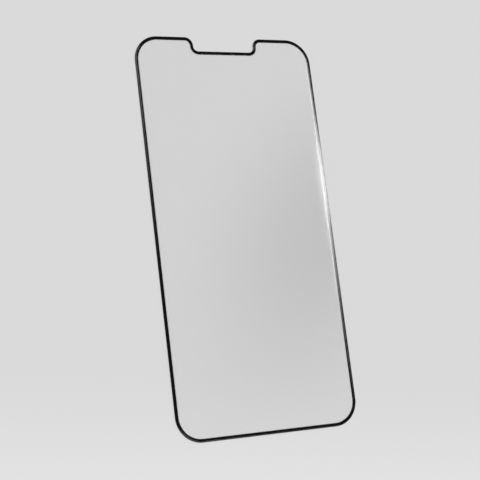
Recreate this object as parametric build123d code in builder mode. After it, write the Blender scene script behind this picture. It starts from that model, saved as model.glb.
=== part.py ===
import os

from build123d import *

# Phone screen protector: one sheet of tempered glass, notched in its top edge and
# rounded along its front rim, with a black border printed on its back.
# It lies on its back: X runs across, Y along to the notch, Z up to the front face.

# Driving dimensions in millimetres

# Outline of the sheet
panel_width = 68.8
panel_length = 142.4
corner_radius = 9.1

# Notch that leaves the earpiece and the front camera uncovered
notch_width = 23.6
notch_mouth_radius = 3.0  # the top edge turning down into the notch
notch_wall = 0.3  # straight stretch between the two roundings
notch_floor_radius = 1.9  # the wall turning along the notch floor

# Glass
glass_thickness = 0.5
rim_width = 1.1  # reach of the polished rounding from the edge on to the front face
edge_wall = 0.15  # upright wall that the rounding leaves
back_bevel = 0.05  # break on the back edge

# Printed border
border_width = 1.2  # from the edge of the glass to the clear window
ink_thickness = 0.03

# Derived places
top_edge = panel_length / 2
notch_depth = notch_mouth_radius + notch_wall + notch_floor_radius
notch_floor = top_edge - notch_depth
front_level = ink_thickness + glass_thickness
rim_drop = glass_thickness - back_bevel - edge_wall

os.makedirs("parts", exist_ok=True)

# Outline: a rounded sheet with the notch cut in, its mouth and floor corners rounded too
with BuildSketch() as outline:
    RectangleRounded(panel_width, panel_length, corner_radius)
    with Locations((0, top_edge)):
        Rectangle(notch_width, 2 * notch_depth, mode=Mode.SUBTRACT)
    fillet(outline.vertices().sort_by_distance((0, top_edge))[:2], notch_mouth_radius)
    fillet(outline.vertices().sort_by_distance((0, notch_floor))[:2], notch_floor_radius)

# Glass: the sheet on top of the ink, with a break along its back edge and a rounded front rim
with BuildPart() as glass_panel:
    with BuildSketch(Plane.XY.offset(ink_thickness)):
        add(outline.sketch)
    extrude(amount=glass_thickness)
    front_rim = glass_panel.faces().sort_by(Axis.Z)[-1].outer_wire()
    chamfer(glass_panel.edges().group_by(Axis.Z)[0], back_bevel)
    # Section of what the rounding takes off, with its origin on the rim half-way up the right side:
    # an arc that leaves the front face smoothly, and a boundary that stays clear of the glass
    with BuildSketch(Plane((panel_width / 2, 0, front_level), x_dir=(1, 0, 0), z_dir=(0, -1, 0))):
        with BuildLine():
            rounding = TangentArc((-rim_width, 0), (0, -rim_drop), tangent=(1, 0))
            Polyline(
                rounding @ 1,
                (rim_drop, -rim_drop),
                (rim_drop, rim_drop),
                (-rim_width, rim_drop),
                rounding @ 0,
            )
        make_face()
    sweep(path=front_rim, mode=Mode.SUBTRACT)
glass_panel.part.label = "glass_panel"
export_step(glass_panel.part, "parts/glass_panel.step")

# Border: one coat of ink on the back of the glass, from the break in its edge to the clear window
with BuildPart() as printed_border:
    with BuildSketch():
        offset(outline.sketch, amount=-back_bevel, mode=Mode.ADD)
        offset(outline.sketch, amount=-border_width, mode=Mode.SUBTRACT)
    extrude(amount=ink_thickness)
printed_border.part.label = "printed_border"
export_step(printed_border.part, "parts/printed_border.step")
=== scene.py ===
import math

import bmesh
import bpy
from mathutils import Matrix, Vector


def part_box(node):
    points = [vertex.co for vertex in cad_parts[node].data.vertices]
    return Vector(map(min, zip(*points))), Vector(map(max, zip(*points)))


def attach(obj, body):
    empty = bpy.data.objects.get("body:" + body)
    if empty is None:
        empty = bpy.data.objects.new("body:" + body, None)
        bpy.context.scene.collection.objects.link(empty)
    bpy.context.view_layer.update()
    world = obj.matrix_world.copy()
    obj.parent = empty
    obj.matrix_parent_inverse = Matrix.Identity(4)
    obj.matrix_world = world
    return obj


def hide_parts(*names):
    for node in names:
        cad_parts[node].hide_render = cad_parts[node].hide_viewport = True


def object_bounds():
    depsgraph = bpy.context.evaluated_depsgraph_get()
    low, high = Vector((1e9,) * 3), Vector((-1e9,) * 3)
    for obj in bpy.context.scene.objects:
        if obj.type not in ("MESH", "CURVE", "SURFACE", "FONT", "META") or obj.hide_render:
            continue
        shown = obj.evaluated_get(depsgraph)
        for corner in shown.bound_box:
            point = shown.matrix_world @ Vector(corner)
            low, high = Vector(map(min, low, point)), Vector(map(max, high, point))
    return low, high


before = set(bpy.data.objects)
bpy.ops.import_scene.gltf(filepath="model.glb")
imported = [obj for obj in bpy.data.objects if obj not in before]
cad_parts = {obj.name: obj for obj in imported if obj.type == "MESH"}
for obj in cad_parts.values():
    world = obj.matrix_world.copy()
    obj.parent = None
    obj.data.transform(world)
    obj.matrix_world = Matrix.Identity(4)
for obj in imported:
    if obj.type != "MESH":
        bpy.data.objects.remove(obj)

cadLow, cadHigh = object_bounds()
glassLow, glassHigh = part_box("glass_panel")
inkLow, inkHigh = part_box("printed_border")
scene = bpy.context.scene
scene.view_settings.view_transform = "Standard"
mm = 0.001
white = (1.0, 1.0, 1.0, 1.0)
sheetSize = [round(side / mm, 2) for side in cadHigh - cadLow]
print("frame loaded,", len(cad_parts), "nodes, sheet", sheetSize, "mm")


# camera above the sheet, off to its left and a little towards its foot
shot = {
    "place": Vector((-178.68, -73.12, 376.66)) * mm,
    "aim": Vector((-2.73, -3.15, 0.0)) * mm,
    "lens": 90.19,
    "sensor": 36.0,
    "clip": (0.01, 100.0),
    "turn": math.radians(7.6),  # how far the sheet's length leans off the picture's upright
}


def addCamera():
    bpy.ops.object.select_all(action="DESELECT")
    bpy.ops.object.camera_add()
    camera = bpy.context.object
    camera.name = "camera"
    camera.data.lens = shot["lens"]
    camera.data.sensor_width = shot["sensor"]
    camera.data.clip_start, camera.data.clip_end = shot["clip"]
    forward = (shot["aim"] - shot["place"]).normalized()
    lengthways = Vector((math.sin(shot["turn"]), math.cos(shot["turn"]), 0.0))
    right = forward.cross(lengthways).normalized()
    turned = Matrix((right, right.cross(forward), -forward)).transposed().to_4x4()
    camera.matrix_world = Matrix.Translation(shot["place"]) @ turned
    scene.camera = camera


addCamera()
print("camera placed")


# edit mode on one piece alone, and picking its faces or corners by their place
cutReach = 0.0001 * mm  # a cut takes in points this near to it
cornerReach = 0.01 * mm  # a corner is picked this near to its place
flatAngle = math.radians(1.0)  # edges flatter than this are taken out
sharpAngle = math.radians(25.0)  # edges sharper than this stay crisp
levelNormal = 0.9  # a face whose normal rises or falls more than this lies level
wallNormal = 0.8  # and one that does less than this stands up


def editOn(piece):
    bpy.ops.object.select_all(action="DESELECT")
    piece.select_set(True)
    bpy.context.view_layer.objects.active = piece
    bpy.ops.object.mode_set(mode="EDIT")


def editOff():
    bpy.ops.object.mode_set(mode="OBJECT")


def pick(piece, kind, wanted):
    bpy.ops.mesh.select_mode(type=kind)
    bpy.ops.mesh.select_all(action="DESELECT")
    shape = bmesh.from_edit_mesh(piece.data)
    for part in shape.faces if kind == "FACE" else shape.verts:
        if wanted(part):
            part.select_set(True)
    bmesh.update_edit_mesh(piece.data)


def finishMesh():
    bpy.ops.mesh.select_all(action="SELECT")
    bpy.ops.mesh.normals_make_consistent(inside=False)
    editOff()
    bpy.ops.object.shade_smooth_by_angle(angle=sharpAngle)


# outline that the glass and the ink share
outline = {
    "halfWidth": glassHigh.x,
    "halfLength": glassHigh.y,
    "cornerRadius": 9.1 * mm,
    "notchHalf": 11.8 * mm,
    "notchDepth": 5.2 * mm,
    "mouthRadius": 3.0 * mm,  # the top edge turning down into the notch
    "floorRadius": 1.9 * mm,  # the notch wall turning along its floor
    "cornerSteps": 28,
    "notchSteps": 16,
}


def addOutline(name, level):
    halfWidth, halfLength = outline["halfWidth"], outline["halfLength"]
    notchHalf, notchFloor = outline["notchHalf"], halfLength - outline["notchDepth"]
    bpy.ops.object.select_all(action="DESELECT")
    bpy.ops.mesh.primitive_plane_add(size=2.0, location=(0.0, 0.0, level))
    piece = bpy.context.object
    piece.name = name
    piece.data.name = name
    piece.scale = (halfWidth, halfLength, 1.0)
    bpy.ops.object.transform_apply(location=True, rotation=True, scale=True)
    editOn(piece)
    # three cuts mark the notch out of the sheet, and what lies inside them goes
    for place, across in (
        ((-notchHalf, 0.0, level), (1.0, 0.0, 0.0)),
        ((notchHalf, 0.0, level), (1.0, 0.0, 0.0)),
        ((0.0, notchFloor, level), (0.0, 1.0, 0.0)),
    ):
        bpy.ops.mesh.select_all(action="SELECT")
        bpy.ops.mesh.bisect(plane_co=place, plane_no=across, threshold=cutReach)

    def inNotch(face):
        middle = face.calc_center_median()
        return abs(middle.x) < notchHalf and middle.y > notchFloor

    pick(piece, "FACE", inNotch)
    bpy.ops.mesh.delete(type="FACE")
    bpy.ops.mesh.select_all(action="SELECT")
    bpy.ops.mesh.dissolve_limited(angle_limit=flatAngle)
    # the corners are rounded one kind at a time
    corners = [Vector((x, y)) for x in (-halfWidth, halfWidth) for y in (-halfLength, halfLength)]
    mouth = [Vector((x, halfLength)) for x in (-notchHalf, notchHalf)]
    floor = [Vector((x, notchFloor)) for x in (-notchHalf, notchHalf)]
    for places, radius, steps in (
        (corners, outline["cornerRadius"], outline["cornerSteps"]),
        (mouth, outline["mouthRadius"], outline["notchSteps"]),
        (floor, outline["floorRadius"], outline["notchSteps"]),
    ):
        pick(piece, "VERT", lambda vert: any((vert.co.xy - place).length < cornerReach for place in places))
        bpy.ops.mesh.bevel(offset=radius, segments=steps, profile=0.5, affect="VERTICES")
    bpy.ops.mesh.select_mode(type="FACE")
    bpy.ops.mesh.select_all(action="SELECT")
    return piece


# glass: a ground wall, a polished rim that rounds on to the front, a small break on the back edge
glass = {
    "backBreak": 0.05 * mm,
    "wall": 0.15 * mm,
    "rimWidth": 1.1 * mm,
    "rimSteps": 14,
    "flatRing": 0.6 * mm,  # keeps the shading of the two broad faces flat
}
wallFoot = glassLow.z + glass["backBreak"]
wallTop = wallFoot + glass["wall"]


def buildGlass():
    front = glassHigh.z
    reach, drop = glass["rimWidth"], front - wallTop
    radius = (reach ** 2 + drop ** 2) / (2.0 * drop)
    sweep = math.asin(reach / radius)
    piece = addOutline("glass_sheet", wallFoot)
    bpy.ops.mesh.extrude_region_move(TRANSFORM_OT_translate={"value": (0.0, 0.0, glass["wall"])})
    # small insets go up round the arc until it lies flat with the front
    inward, height = 0.0, wallTop
    for step in range(1, glass["rimSteps"] + 1):
        angle = sweep * (1.0 - step / glass["rimSteps"])
        nextInward = reach - radius * math.sin(angle)
        nextHeight = front - radius * (1.0 - math.cos(angle))
        bpy.ops.mesh.inset(thickness=nextInward - inward, depth=nextHeight - height)
        inward, height = nextInward, nextHeight
    bpy.ops.mesh.inset(thickness=glass["flatRing"], depth=0.0)
    bpy.ops.mesh.select_all(action="SELECT")
    bpy.ops.mesh.normals_make_consistent(inside=False)
    pick(piece, "FACE", lambda face: face.normal.z < -levelNormal)
    bpy.ops.mesh.inset(thickness=glass["backBreak"], depth=glass["backBreak"])
    bpy.ops.mesh.inset(thickness=glass["flatRing"], depth=0.0)
    finishMesh()
    return piece


glassPiece = buildGlass()
print("glass modelled,", len(glassPiece.data.polygons), "faces")


# ink: a band on the back of the glass, from the break in its edge to the clear window
ink = {
    "margin": 0.05 * mm,  # the break in the edge stays bare
    "band": 1.15 * mm,
    "bite": 0.004 * mm,  # the print grips the glass, so that the two don't share a plane
}


def buildInk():
    piece = addOutline("ink_border", inkLow.z)
    bpy.ops.mesh.inset(thickness=ink["margin"], depth=0.0)
    pick(piece, "FACE", lambda face: len(face.verts) == 4)  # the bare margin, all of it four-sided
    bpy.ops.mesh.delete(type="FACE")
    bpy.ops.mesh.select_all(action="SELECT")
    bpy.ops.mesh.inset(thickness=ink["band"], depth=0.0)
    pick(piece, "FACE", lambda face: len(face.verts) > 4)  # the clear window, one many-sided face
    bpy.ops.mesh.delete(type="FACE")
    bpy.ops.mesh.select_all(action="SELECT")
    thickness = inkHigh.z - inkLow.z + ink["bite"]
    bpy.ops.mesh.extrude_region_move(TRANSFORM_OT_translate={"value": (0.0, 0.0, thickness)})
    finishMesh()
    return piece


inkPiece = buildInk()
print("ink modelled,", len(inkPiece.data.polygons), "faces")


# nodes of a material or the world
def addNode(tree, kind, inputs=None, **settings):
    made = tree.nodes.new(kind)
    for name, value in settings.items():
        setattr(made, name, value)
    for name, value in (inputs or {}).items():
        made.inputs[name].default_value = value
    return made


def addRange(tree, value, fromEnds, toEnds=(0.0, 1.0), shape="LINEAR"):
    ends = {"From Min": fromEnds[0], "From Max": fromEnds[1], "To Min": toEnds[0], "To Max": toEnds[1]}
    made = addNode(tree, "ShaderNodeMapRange", ends, interpolation_type=shape)
    tree.links.new(value, made.inputs["Value"])
    return made.outputs["Result"]


def addChoice(tree, when, usual, other):
    made = addNode(tree, "ShaderNodeMixShader")
    tree.links.new(when, made.inputs["Fac"])
    tree.links.new(usual, made.inputs[1])
    tree.links.new(other, made.inputs[2])
    return made.outputs["Shader"]


def emptyMaterial(name):
    material = bpy.data.materials.new(name)
    material.use_nodes = True
    material.node_tree.nodes.clear()
    return material, material.node_tree, material.node_tree.links


# polished glass, whose coat is a little uneven, and the ground glass of the edge
glassFinish = {
    "tint": (0.93, 0.93, 0.93, 1.0),
    "lampTint": (0.936, 0.936, 0.936, 1.0),  # light that passes one face
    "index": 1.52,
    "coatScale": 55.0,
    "coatRough": (0.004, 0.03),
    "groundTint": (0.30, 0.32, 0.32, 1.0),
    "groundScale": 14000.0,
    "groundRough": (0.24, 0.42),
    "cloudDetail": 4.0,
    "cloudGain": 0.55,
    "cloudSpan": (0.35, 0.7),
}


def makeGlass(name, tint, scale, rough):
    material, tree, links = emptyMaterial(name)
    where = addNode(tree, "ShaderNodeTexCoord")
    cloud = addNode(tree, "ShaderNodeTexNoise", {
        "Scale": scale, "Detail": glassFinish["cloudDetail"], "Roughness": glassFinish["cloudGain"]})
    body = addNode(tree, "ShaderNodeBsdfPrincipled", {
        "Base Color": tint, "IOR": glassFinish["index"], "Transmission Weight": 1.0})
    clear = addNode(tree, "ShaderNodeBsdfTransparent", {"Color": glassFinish["lampTint"]})
    rays = addNode(tree, "ShaderNodeLightPath")
    out = addNode(tree, "ShaderNodeOutputMaterial")
    links.new(where.outputs["Object"], cloud.inputs["Vector"])
    spread = addRange(tree, cloud.outputs["Fac"], glassFinish["cloudSpan"], rough)
    links.new(spread, body.inputs["Roughness"])
    # soft light and lamps reach what lies under the sheet straight through it
    forBounced = addChoice(tree, rays.outputs["Is Diffuse Ray"], body.outputs["BSDF"], clear.outputs["BSDF"])
    forLamps = addChoice(tree, rays.outputs["Is Shadow Ray"], forBounced, clear.outputs["BSDF"])
    links.new(forLamps, out.inputs["Surface"])
    return material


# black ink with the fine grain of a screen print, dead black where it wets the glass
inkFinish = {
    "black": (0.003, 0.003, 0.0033, 1.0),
    "worn": (0.0075, 0.0075, 0.008, 1.0),
    "index": 1.46,
    "bareShine": 0.5,
    "wetShine": 0.0,
    "cloudScale": 420.0,
    "cloudDetail": 3.0,
    "grainScale": 5200.0,
    "grainSpan": (0.0, 0.8),
    "grainStrength": 0.6,
    "grainLift": 0.004 * mm,
    "rough": (0.34, 0.52),
}


def makeInk(name, shine):
    material, tree, links = emptyMaterial(name)
    where = addNode(tree, "ShaderNodeTexCoord")
    cloud = addNode(tree, "ShaderNodeTexNoise", {
        "Scale": inkFinish["cloudScale"], "Detail": inkFinish["cloudDetail"]})
    shade = addNode(
        tree, "ShaderNodeMix", {"A": inkFinish["black"], "B": inkFinish["worn"]}, data_type="RGBA")
    grain = addNode(tree, "ShaderNodeTexVoronoi", {"Scale": inkFinish["grainScale"]})
    lift = addNode(tree, "ShaderNodeBump", {
        "Strength": inkFinish["grainStrength"], "Distance": inkFinish["grainLift"]})
    body = addNode(tree, "ShaderNodeBsdfPrincipled", {"IOR": inkFinish["index"], "Specular IOR Level": shine})
    out = addNode(tree, "ShaderNodeOutputMaterial")
    links.new(where.outputs["Object"], cloud.inputs["Vector"])
    links.new(where.outputs["Object"], grain.inputs["Vector"])
    links.new(cloud.outputs["Fac"], shade.inputs["Factor"])
    links.new(shade.outputs["Result"], body.inputs["Base Color"])
    spread = addRange(tree, grain.outputs["Distance"], inkFinish["grainSpan"], inkFinish["rough"])
    links.new(spread, body.inputs["Roughness"])
    links.new(grain.outputs["Distance"], lift.inputs["Height"])
    links.new(lift.outputs["Normal"], body.inputs["Normal"])
    links.new(body.outputs["BSDF"], out.inputs["Surface"])
    return material


for piece, finish in (
    (glassPiece, makeGlass(
        "clear_glass_polished",
        glassFinish["tint"], glassFinish["coatScale"], glassFinish["coatRough"])),
    (glassPiece, makeGlass(
        "clear_glass_ground",
        glassFinish["groundTint"], glassFinish["groundScale"], glassFinish["groundRough"])),
    (inkPiece, makeInk("black_ink_print", inkFinish["bareShine"])),
    (inkPiece, makeInk("black_ink_on_glass", inkFinish["wetShine"])),
):
    piece.data.materials.append(finish)


# the second finish of a piece goes on the faces that are wanted
def paintFaces(piece, wanted):
    editOn(piece)
    pick(piece, "FACE", wanted)
    piece.active_material_index = 1
    bpy.ops.object.material_slot_assign()
    editOff()
    piece.active_material_index = 0
    return sum(face.material_index == 1 for face in piece.data.polygons)


groundFaces = paintFaces(
    glassPiece, lambda face: abs(face.normal.z) < wallNormal and face.calc_center_median().z < wallTop)
wetFaces = paintFaces(inkPiece, lambda face: face.normal.z > levelNormal)
print("finishes on,", groundFaces, "ground faces of glass,", wetFaces, "faces of ink on the glass")

for piece, node, slot in (
    (glassPiece, "glass_panel", "clear_glass"),
    (inkPiece, "printed_border", "black_ink"),
):
    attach(piece, "root")
    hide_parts(node)


# plain pale floor, with painted light: its paint turns lighter in front of the sheet, standing in for
# brighter light falling there
stage = {
    "half": 30.0,
    "gap": 0.04 * mm,  # under the ink
    "paint": (0.80, 0.80, 0.80, 1.0),
    # painted light: a lighter paint in front of the sheet, standing in for brighter light there
    "paintedLightPaint": (0.885, 0.885, 0.885, 1.0),
    "paintedLightEdge": (-48.0 * mm, -100.0 * mm),  # painted light: the paint lightens between these, level across the camera's frame
}


def buildFloor():
    bpy.ops.object.select_all(action="DESELECT")
    bpy.ops.mesh.primitive_plane_add(size=2.0 * stage["half"])
    floor = bpy.context.object
    floor.name = "floor"
    editOn(floor)
    bpy.ops.mesh.select_all(action="SELECT")
    bpy.ops.transform.translate(value=(0.0, 0.0, -stage["gap"]))
    editOff()
    material, tree, links = emptyMaterial("floor_paint_with_painted_light")
    where = addNode(tree, "ShaderNodeTexCoord")
    level = addNode(tree, "ShaderNodeMapping", {"Rotation": (0.0, 0.0, shot["turn"])})
    split = addNode(tree, "ShaderNodeSeparateXYZ")
    blend = addNode(tree, "ShaderNodeMix", {"A": stage["paint"], "B": stage["paintedLightPaint"]}, data_type="RGBA")
    paint = addNode(tree, "ShaderNodeBsdfDiffuse")
    out = addNode(tree, "ShaderNodeOutputMaterial")
    links.new(where.outputs["Object"], level.inputs["Vector"])
    links.new(level.outputs["Vector"], split.inputs["Vector"])
    # painted light: how much of the lighter paint shows, rising towards the camera
    near = addRange(tree, split.outputs["Y"], stage["paintedLightEdge"], shape="SMOOTHSTEP")
    links.new(near, blend.inputs["Factor"])
    links.new(blend.outputs["Result"], paint.inputs["Color"])
    links.new(paint.outputs["BSDF"], out.inputs["Surface"])
    floor.data.materials.append(material)


buildFloor()
print("floor laid")


# soft studio: an even pale dome, and in what the glass mirrors two dark flags,
# one low on the right and one overhead
studio = {
    "even": 0.875,  # soft light on everything
    "pale": 0.70,  # what shows past the floor
    "horizon": (0.3, 0.55),  # the backdrop ends this high
    "dome": 1.15,
    "dark": 0.06,
    "flags": (
        {"towards": (0.707, 0.382, 0.596), "edge": (62.0, 56.0)},  # soft edge in degrees
        {"towards": (-0.35, -0.02, 0.93), "edge": (27.0, 15.0)},
    ),
}


def buildStudio():
    world = bpy.data.worlds.new("studio")
    scene.world = world
    world.use_nodes = True
    tree = world.node_tree
    tree.nodes.clear()
    links = tree.links
    where = addNode(tree, "ShaderNodeTexCoord")
    split = addNode(tree, "ShaderNodeSeparateXYZ")
    even = addNode(tree, "ShaderNodeBackground", {"Color": white, "Strength": studio["even"]})
    mirrored = addNode(tree, "ShaderNodeBackground", {"Color": white})
    backdrop = addNode(tree, "ShaderNodeBackground", {"Color": white, "Strength": studio["pale"]})
    rays = addNode(tree, "ShaderNodeLightPath")
    out = addNode(tree, "ShaderNodeOutputWorld")
    links.new(where.outputs["Generated"], split.inputs["Vector"])
    brightness = addRange(
        tree, split.outputs["Z"], studio["horizon"], (studio["pale"], studio["dome"]), "SMOOTHSTEP")
    for flag in studio["flags"]:
        facing = addNode(tree, "ShaderNodeVectorMath", operation="DOT_PRODUCT")
        facing.inputs[1].default_value = Vector(flag["towards"]).normalized()
        flagged = addNode(tree, "ShaderNodeMix", {"B": studio["dark"]}, data_type="FLOAT")
        links.new(where.outputs["Generated"], facing.inputs[0])
        edge = [math.cos(math.radians(angle)) for angle in flag["edge"]]
        shade = addRange(tree, facing.outputs["Value"], edge, shape="SMOOTHSTEP")
        links.new(shade, flagged.inputs["Factor"])
        links.new(brightness, flagged.inputs["A"])
        brightness = flagged.outputs["Result"]
    links.new(brightness, mirrored.inputs["Strength"])
    forGlass = addChoice(
        tree, rays.outputs["Is Glossy Ray"], even.outputs["Background"], mirrored.outputs["Background"])
    forCamera = addChoice(tree, rays.outputs["Is Camera Ray"], forGlass, backdrop.outputs["Background"])
    links.new(forCamera, out.inputs["Surface"])


buildStudio()
print("studio lit")


# cards that the glass mirrors, lying behind one another without a shadow:
# a panel with a soft dark place in it, a strip on the right with a glow, a tail,
# a halo and a thin line about it, and two short strips on the left.
# each has its place and half sizes in mm and its roll in degrees, and on it a soft spot
# with its own place, reach and turn, and the brightness at its edge and in its middle
straightUp = (0.0, 0.0, 1.0)  # away from the sheet, square to the card
upRight = (864.7, 293.2, 778.6)
cards = {
    "panel": {
        "place": (427.4, 174.9, 900.0), "away": straightUp, "roll": 0.0, "half": (119.0, 243.0),
        "spot": (109.0, -8.0), "reach": (305.0, 191.0), "turn": 51.2, "edge": 1.45, "middle": 0.09},
    "rightStrip": {
        "place": (1137.5, 220.7, 546.0), "away": upRight, "roll": -4.7, "half": (730.0, 270.0),
        "spot": (-91.0, 56.6), "reach": (927.0, 103.0), "turn": 6.3, "edge": 0.0, "middle": 12.2},
    "rightGlow": {
        "place": (1138.2, 220.9, 546.6), "away": upRight, "roll": -4.7, "half": (730.0, 300.0),
        "spot": (-1240.0, 7.6), "reach": (1742.0, 251.0), "turn": -0.2, "edge": 0.0, "middle": 17.8},
    "rightTail": {
        "place": (1138.9, 221.2, 547.3), "away": upRight, "roll": -4.7, "half": (730.0, 350.0),
        "spot": (-400.0, -204.0), "reach": (900.0, 90.0), "turn": -2.2, "edge": 0.0, "middle": 1.6},
    "rightHalo": {
        "place": (640.6, 279.0, 1077.4), "away": upRight, "roll": -4.7, "half": (14.0, 84.0),
        "spot": (0.0, -6.2), "reach": (13.6, 78.3), "turn": 0.0, "edge": 0.0, "middle": 2.2},
    "rightLine": {
        "place": (641.3, 279.2, 1078.0), "away": upRight, "roll": -4.7, "half": (6.0, 330.0),
        "spot": (0.0, -59.0), "reach": (5.7, 267.0), "turn": 0.0, "edge": 0.0, "middle": 2.65},
    "leftStrip": {
        "place": (-270.0, 390.0, 900.0), "away": straightUp, "roll": 0.0, "half": (400.0, 310.0),
        "spot": (0.0, 0.0), "reach": (390.0, 300.0), "turn": 0.0, "edge": 0.0, "middle": 1.7},
    "cornerStrip": {
        "place": (-190.0, 740.0, 905.0), "away": straightUp, "roll": -26.8, "half": (240.0, 250.0),
        "spot": (0.0, 0.0), "reach": (230.0, 240.0), "turn": 0.0, "edge": 0.0, "middle": 3.0},
}


def addCard(name, card):
    bpy.ops.object.select_all(action="DESELECT")
    bpy.ops.mesh.primitive_plane_add(size=2.0 * mm)
    made = bpy.context.object
    made.name = name
    made.scale = (*card["half"], 1.0)
    bpy.ops.object.transform_apply(location=False, rotation=False, scale=True)
    # its length stays along the sheet's but for the roll
    away = Vector(card["away"]).normalized()
    across = Vector((0.0, 1.0, 0.0)).cross(away).normalized()
    turned = Matrix((across, away.cross(across), away)).transposed().to_4x4()
    rolled = Matrix.Rotation(math.radians(card["roll"]), 4, "Z")
    made.matrix_world = Matrix.Translation(Vector(card["place"]) * mm) @ turned @ rolled
    made.visible_camera = False
    made.visible_diffuse = False
    made.visible_shadow = False
    material, tree, links = emptyMaterial(name)
    where = addNode(tree, "ShaderNodeTexCoord")
    fit = addNode(tree, "ShaderNodeMapping", {
        "Location": (card["spot"][0] * mm, card["spot"][1] * mm, 0.0),
        "Rotation": (0.0, 0.0, math.radians(card["turn"])),
        "Scale": (card["reach"][0] * mm, card["reach"][1] * mm, 1.0)}, vector_type="TEXTURE")
    ball = addNode(tree, "ShaderNodeTexGradient", gradient_type="SPHERICAL")
    glow = addNode(tree, "ShaderNodeEmission", {"Color": white})
    through = addNode(tree, "ShaderNodeBsdfTransparent")
    both = addNode(tree, "ShaderNodeAddShader")
    out = addNode(tree, "ShaderNodeOutputMaterial")
    links.new(where.outputs["Object"], fit.inputs["Vector"])
    links.new(fit.outputs["Vector"], ball.inputs["Vector"])
    soft = addRange(tree, ball.outputs["Fac"], (0.0, 1.0), (card["edge"], card["middle"]), "SMOOTHSTEP")
    links.new(soft, glow.inputs["Strength"])
    links.new(glow.outputs["Emission"], both.inputs[0])
    links.new(through.outputs["BSDF"], both.inputs[1])
    links.new(both.outputs["Shader"], out.inputs["Surface"])
    made.data.materials.append(material)


for name, card in cards.items():
    addCard(name, card)
print("cards up,", len(cards))
